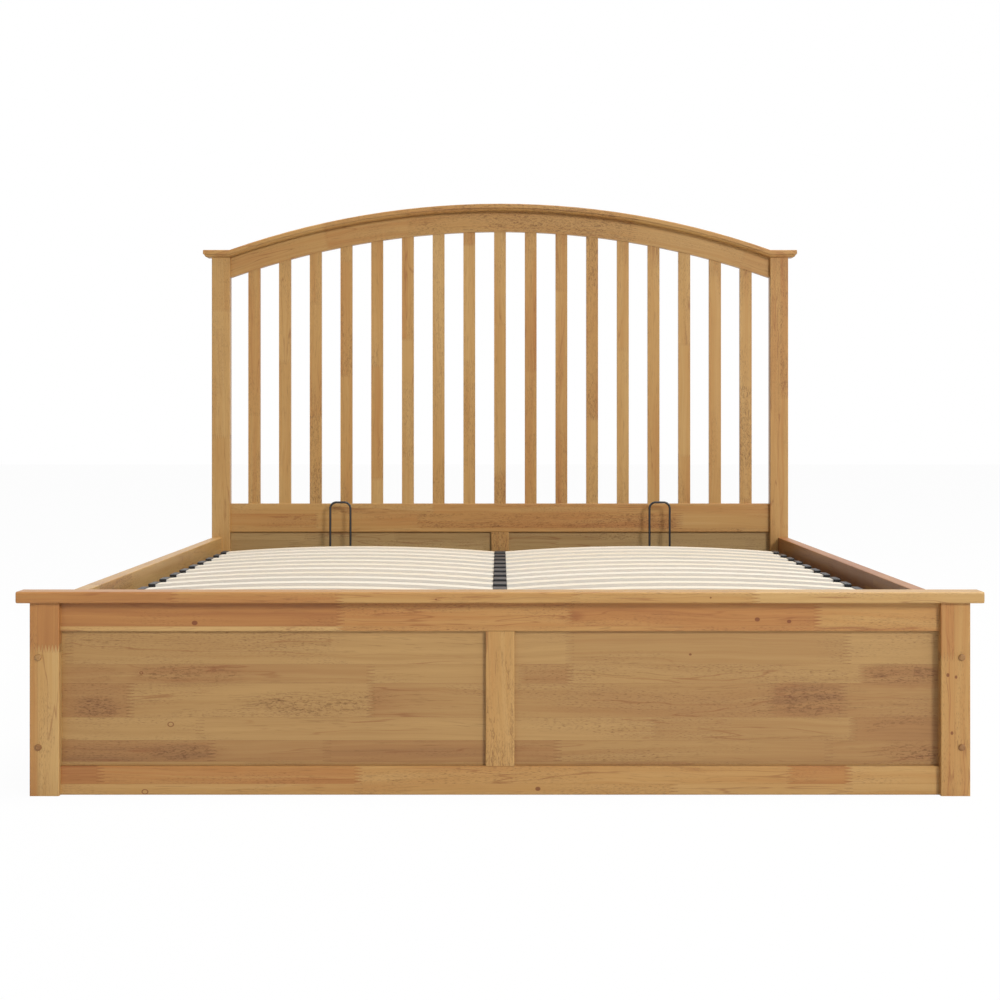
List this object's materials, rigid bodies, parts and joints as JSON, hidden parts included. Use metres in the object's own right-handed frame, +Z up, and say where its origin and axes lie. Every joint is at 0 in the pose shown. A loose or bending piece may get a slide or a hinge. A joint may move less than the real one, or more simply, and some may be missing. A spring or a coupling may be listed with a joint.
{
  "type": "ottoman bed",
  "caption": "Wooden end-lift storage bed with a low panelled foot, arched slatted headboard, sprung slat platform on gas struts and storage base.",
  "frame": {"origin": "middle of the bed's footprint, on the floor", "axes": "+Z up, +Y from the foot end to the headboard, +X to the right seen from the foot end"},
  "size_m": [1.668, 2.122, 1.2663],
  "materials": {
    "lacquered_wood": "satin lacquer",
    "sprung_slat_wood": "smooth birch faced laminate",
    "floor_board": "plain board",
    "plain_softwood": "planed softwood",
    "plug_wood": "satin lacquer",
    "black_plastic": "fine texture",
    "rubber_pad": "matt",
    "black_steel_tube": "satin powder coat",
    "black_wire": "semi gloss powder coat",
    "hinge_steel": "satin powder coat",
    "zinc_fastener": "zinc plated",
    "strut_black": "gloss paint",
    "strut_chrome": "ground and plated",
    "webbing": "woven polyester"
  },
  "bodies": {
    "bed_base": {"barrel_nuts": "zinc_fastener", "base_plate_screws": "zinc_fastener", "bed_bolts": "zinc_fastener", "bolt_cover_plugs": "plug_wood", "floor_battens": "plain_softwood", "floor_centre_bearer": "plain_softwood", "foot_bottom_rail": "lacquered_wood", "foot_cap_rail": "lacquered_wood", "foot_muntin": "lacquered_wood", "foot_panels": "lacquered_wood", "foot_post_left": "lacquered_wood", "foot_post_right": "lacquered_wood", "foot_top_rail": "lacquered_wood", "head_arch_rail": "lacquered_wood", "head_bottom_rail": "lacquered_wood", "head_cap_moulding": "lacquered_wood", "head_lower_rail": "lacquered_wood", "head_muntin": "lacquered_wood", "head_panels": "lacquered_wood", "head_post_left": "lacquered_wood", "head_post_right": "lacquered_wood", "head_spindles": "lacquered_wood", "mechanism_base_pivots": "zinc_fastener", "mechanism_base_plate_left": "hinge_steel", "mechanism_base_plate_right": "hinge_steel", "platform_rest_blocks": "plain_softwood", "platform_rest_pads": "rubber_pad", "side_bottom_rail_left": "lacquered_wood", "side_bottom_rail_right": "lacquered_wood", "side_panels_left": "lacquered_wood", "side_panels_right": "lacquered_wood", "side_top_rail_left": "lacquered_wood", "side_top_rail_right": "lacquered_wood", "side_uprights_left": "lacquered_wood", "side_uprights_right": "lacquered_wood", "storage_floor_boards": "floor_board"},
    "platform": {"frame_centre_tube": "black_steel_tube", "frame_cross_tubes": "black_steel_tube", "frame_foot_tube": "black_steel_tube", "frame_head_tube": "black_steel_tube", "frame_side_tubes": "black_steel_tube", "mattress_retainers": "black_wire", "platform_bracket_left": "hinge_steel", "platform_bracket_pivots": "zinc_fastener", "platform_bracket_right": "hinge_steel", "pull_strap": "webbing", "slat_holders_centre": "black_plastic", "slat_holders_left": "black_plastic", "slat_holders_right": "black_plastic", "slats_left": "sprung_slat_wood", "slats_right": "sprung_slat_wood", "tube_end_caps": "black_plastic"},
    "front_arm_left": {"mechanism_front_arm_left": "hinge_steel"},
    "rear_link_left": {"mechanism_rear_link_left": "hinge_steel"},
    "strut_cylinder_left": {"gas_strut_cylinder_left": "strut_black"},
    "strut_rod_left": {"gas_strut_rod_left": "strut_chrome"},
    "front_arm_right": {"mechanism_front_arm_right": "hinge_steel"},
    "rear_link_right": {"mechanism_rear_link_right": "hinge_steel"},
    "strut_cylinder_right": {"gas_strut_cylinder_right": "strut_black"},
    "strut_rod_right": {"gas_strut_rod_right": "strut_chrome"}
  },
  "joints": [
    {"name": "platform_lift", "type": "hinge", "parent": "bed_base", "child": "front_arm_left", "pos_m": [-0.7645, 0.353, 0.08], "axis": [1, 0, 0], "range_deg": [0, 30]},
    {"name": "platform_tilt", "type": "hinge", "parent": "front_arm_left", "child": "platform", "pos_m": [-0.7645, 0.761, 0.2], "axis": [-1, 0, 0], "range_deg": [0, 64.6]},
    {"name": "front_arm_right_swing", "type": "hinge", "parent": "bed_base", "child": "front_arm_right", "pos_m": [0.7645, 0.353, 0.08], "axis": [1, 0, 0], "range_deg": [0, 30.1]},
    {"name": "rear_link_left_swing", "type": "hinge", "parent": "bed_base", "child": "rear_link_left", "pos_m": [-0.7705, 0.588, 0.211], "axis": [1, 0, 0], "range_deg": [0, 37.5]},
    {"name": "strut_left_swing", "type": "hinge", "parent": "bed_base", "child": "strut_cylinder_left", "pos_m": [-0.742, 0.659, 0.071], "axis": [1, 0, 0], "range_deg": [0, 38.7]},
    {"name": "strut_left_slide", "type": "slide", "parent": "strut_cylinder_left", "child": "strut_rod_left", "axis": [0, 0.7779, 0.6283], "range_m": [0, 0.05932]},
    {"name": "rear_link_right_swing", "type": "hinge", "parent": "bed_base", "child": "rear_link_right", "pos_m": [0.7705, 0.588, 0.211], "axis": [1, 0, 0], "range_deg": [0, 37.5]},
    {"name": "strut_right_swing", "type": "hinge", "parent": "bed_base", "child": "strut_cylinder_right", "pos_m": [0.742, 0.659, 0.071], "axis": [1, 0, 0], "range_deg": [0, 38.7]},
    {"name": "strut_right_slide", "type": "slide", "parent": "strut_cylinder_right", "child": "strut_rod_right", "axis": [0, 0.7779, 0.6283], "range_m": [0, 0.05932]}
  ],
  "couplings": [
    {"joint": "platform_tilt", "follows": "platform_lift", "ratio": 2.15},
    {"joint": "front_arm_right_swing", "follows": "platform_lift", "ratio": 1},
    {"joint": "rear_link_left_swing", "follows": "platform_lift", "ratio": 1.247},
    {"joint": "strut_left_swing", "follows": "platform_lift", "ratio": 1.2869},
    {"joint": "strut_left_slide", "follows": "platform_lift", "m_per_rad": 0.11291},
    {"joint": "rear_link_right_swing", "follows": "platform_lift", "ratio": 1.247},
    {"joint": "strut_right_swing", "follows": "platform_lift", "ratio": 1.2869},
    {"joint": "strut_right_slide", "follows": "platform_lift", "m_per_rad": 0.11291}
  ]
}
